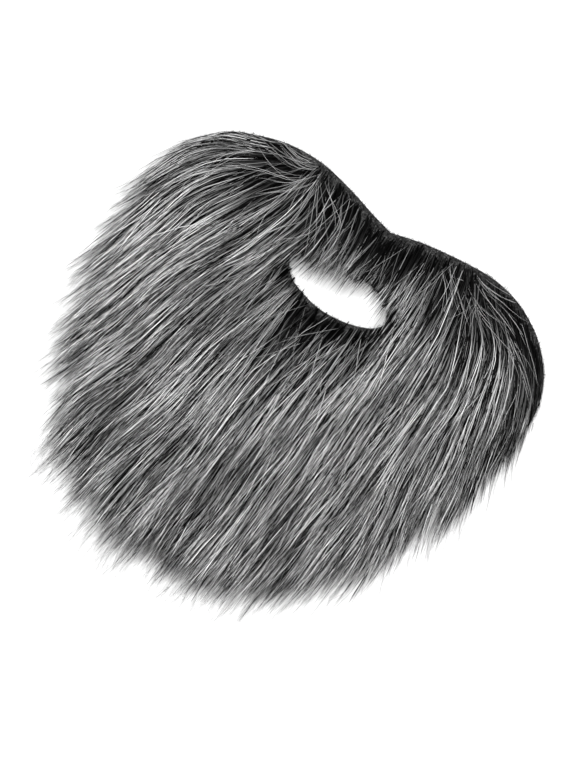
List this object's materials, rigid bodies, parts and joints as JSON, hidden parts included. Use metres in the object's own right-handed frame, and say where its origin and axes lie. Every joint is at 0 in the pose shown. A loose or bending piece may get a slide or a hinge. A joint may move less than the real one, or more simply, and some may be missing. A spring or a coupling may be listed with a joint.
{
  "type": "fake beard",
  "caption": "Full costume beard and moustache of long grey false fur on a black cloth backing with a notched top edge and an open mouth hole, lying flat.",
  "frame": {"origin": "middle of the beard's outline, in the plane of the cloth's back, on which it lies", "axes": "+Y up the beard towards the nose, +Z out of the face through the hair, +X to the right as seen from the front"},
  "size_m": [0.2797, 0.274, 0.0213],
  "materials": {
    "black_cloth": "matt brushed felt, rough at the cut edge",
    "grey_fur": "long straight false fur, black at the roots and silver grey towards the tips, with a soft sheen"
  },
  "bodies": {
    "root": {"backing_cloth": "black_cloth", "moustache_fur": "grey_fur", "beard_fur": "grey_fur"}
  },
  "joints": []
}
